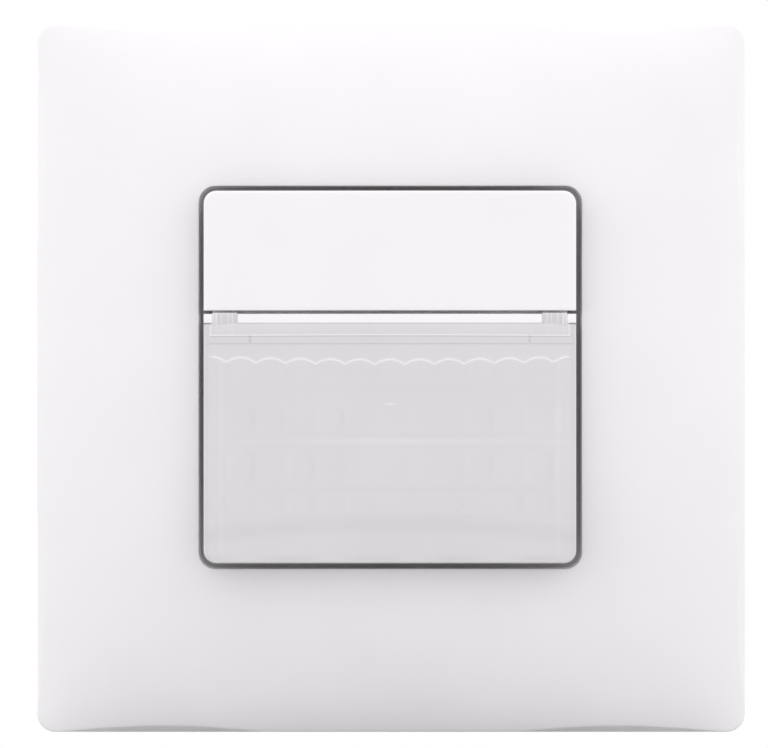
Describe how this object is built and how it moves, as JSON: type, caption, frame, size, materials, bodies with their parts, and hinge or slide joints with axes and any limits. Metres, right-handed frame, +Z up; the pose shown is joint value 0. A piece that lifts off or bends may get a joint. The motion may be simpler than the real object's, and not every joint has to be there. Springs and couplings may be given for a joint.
{
  "type": "motion sensor light switch",
  "caption": "Square flush wall switch with a pillow-shaped cover frame, a lens window over an infrared motion sensor and a push key above it",
  "frame": {"origin": "middle of the wall face, where the middle lines of the box screw slots cross", "axes": "+X to the right seen from the room, +Z up, +Y into the wall, so the face looks along -Y"},
  "size_m": [0.085, 0.0402, 0.085],
  "materials": {
    "frame_white": "satin white moulding",
    "key_white": "satin white moulding",
    "lens_milky": "milky translucent sheet with fine moulded grooves",
    "housing_grey": "fine spark-eroded texture",
    "plate_steel": "zinc plated sheet",
    "bright_steel": "nickel plated",
    "contact_brass": "plain brass",
    "board_green": "solder mask",
    "filter_dark": "dark infrared filter",
    "lamp_red": "tinted clear resin",
    "part_black": "moulded resin",
    "part_blue": "moulded resin",
    "part_yellow": "moulded box",
    "part_brown": "moulded resin"
  },
  "bodies": {
    "base": {"cover_frame": "frame_white", "support_plate": "plate_steel", "front_housing": "housing_grey", "rear_housing": "housing_grey", "crossbar": "key_white", "lens": "lens_milky", "key_spring": "bright_steel", "sensor_board": "board_green", "pir_can": "bright_steel", "pir_window": "filter_dark", "pir_leads": "bright_steel", "sensor_shroud": "part_black", "light_sensor": "filter_dark", "status_led": "lamp_red", "controller_chip": "part_black", "tact_switch_body": "part_black", "time_trimmer_base": "part_blue", "lux_trimmer_base": "part_blue", "board_header": "part_black", "header_pins": "contact_brass", "power_board": "board_green", "relay": "part_blue", "film_capacitor": "part_yellow", "electrolytic_capacitor": "part_black", "varistor": "part_blue", "fuse": "part_brown", "bridge_rectifier": "part_black", "inductor": "part_brown", "terminal_cages": "contact_brass", "terminal_screws": "bright_steel", "housing_screws": "bright_steel"},
    "key": {"override_key": "key_white"},
    "plunger": {"switch_plunger": "key_white"},
    "time_dial": {"time_dial": "key_white"},
    "lux_dial": {"lux_dial": "key_white"}
  },
  "joints": [
    {"name": "key_press", "type": "hinge", "parent": "base", "child": "key", "pos_m": [0, -0.00895, 0.0089], "axis": [-1, 0, 0], "range_deg": [0, 4], "stiffness_Nm_per_rad": 0.1, "springref_deg": -2.86, "deforming": ["key_spring"]},
    {"name": "plunger_travel", "type": "slide", "parent": "base", "child": "plunger", "axis": [0, 1, 0], "range_m": [0, 0.0004]},
    {"name": "time_dial_turn", "type": "hinge", "parent": "base", "child": "time_dial", "pos_m": [-0.0082, -0.005, 0.0144], "axis": [0, 1, 0], "range_deg": [-135, 135]},
    {"name": "lux_dial_turn", "type": "hinge", "parent": "base", "child": "lux_dial", "pos_m": [0.0082, -0.005, 0.0144], "axis": [0, 1, 0], "range_deg": [-135, 135]}
  ],
  "couplings": [
    {"joint": "plunger_travel", "follows": "key_press", "m_per_rad": 0.0055}
  ]
}
